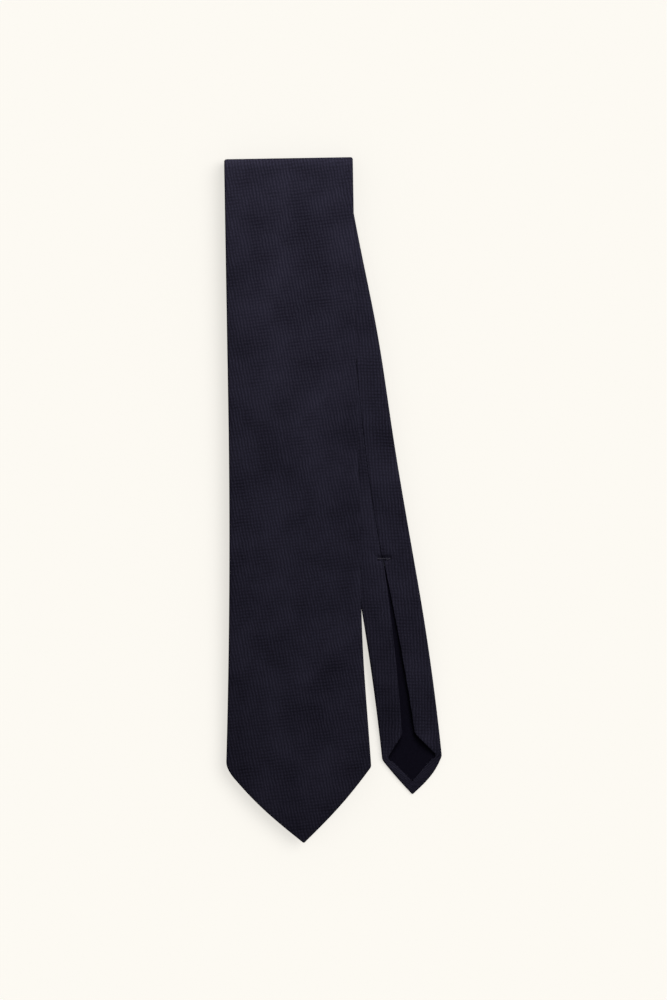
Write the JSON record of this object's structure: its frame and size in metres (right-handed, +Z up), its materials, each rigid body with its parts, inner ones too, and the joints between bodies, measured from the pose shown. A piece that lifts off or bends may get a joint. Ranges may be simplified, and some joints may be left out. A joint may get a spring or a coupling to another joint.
{
  "type": "necktie",
  "caption": "Classic pointed necktie folded in four, its tail fanned out from under the wide front blade, seam side up.",
  "frame": {"origin": "middle of the folded tie's box, on the surface that it lies on", "axes": "+Y from the blade's point towards the top fold, +X to the right seen from above, +Z up"},
  "size_m": [0.1198, 0.3766, 0.0113],
  "materials": {
    "shell_silk": "near-black navy textured silk weave, low sheen",
    "interlining_wool": "brushed wool interlining, matt",
    "tipping_lining": "dark navy lining, soft satin",
    "tack_thread": "pale grey twisted silk thread",
    "sewing_thread": "navy sewing thread, matt"
  },
  "bodies": {
    "rear": {"blade_panel_rear": "shell_silk", "neck_gusset": "shell_silk", "tail_panel_rear": "shell_silk", "neck_interlining": "interlining_wool", "rear_slip_stitch": "sewing_thread"},
    "blade": {"blade_panel_front": "shell_silk", "blade_interlining": "interlining_wool", "blade_tipping": "tipping_lining", "blade_slip_stitch": "sewing_thread", "blade_bar_tack": "tack_thread", "keeper_loop": "shell_silk", "blade_fold": "shell_silk", "blade_fold_interlining": "interlining_wool"},
    "tail": {"tail_panel_front": "shell_silk", "tail_interlining": "interlining_wool", "tail_tipping": "tipping_lining", "tail_slip_stitch": "sewing_thread", "tail_bar_tack": "tack_thread", "tail_fold": "shell_silk", "tail_fold_interlining": "interlining_wool"}
  },
  "joints": [
    {"name": "blade_lift", "type": "hinge", "parent": "rear", "child": "blade", "pos_m": [-0.02445, 0.1821, 0.00565], "axis": [-0.9999, -0.0169, 0], "range_deg": [0, 180], "deforming": ["blade_fold", "blade_fold_interlining"]},
    {"name": "tail_fan", "type": "hinge", "parent": "rear", "child": "tail", "pos_m": [-0.0099, 0.1792, 0.00565], "axis": [0, 0, 1], "range_deg": [-2, 8], "deforming": ["tail_fold", "tail_fold_interlining"]}
  ]
}
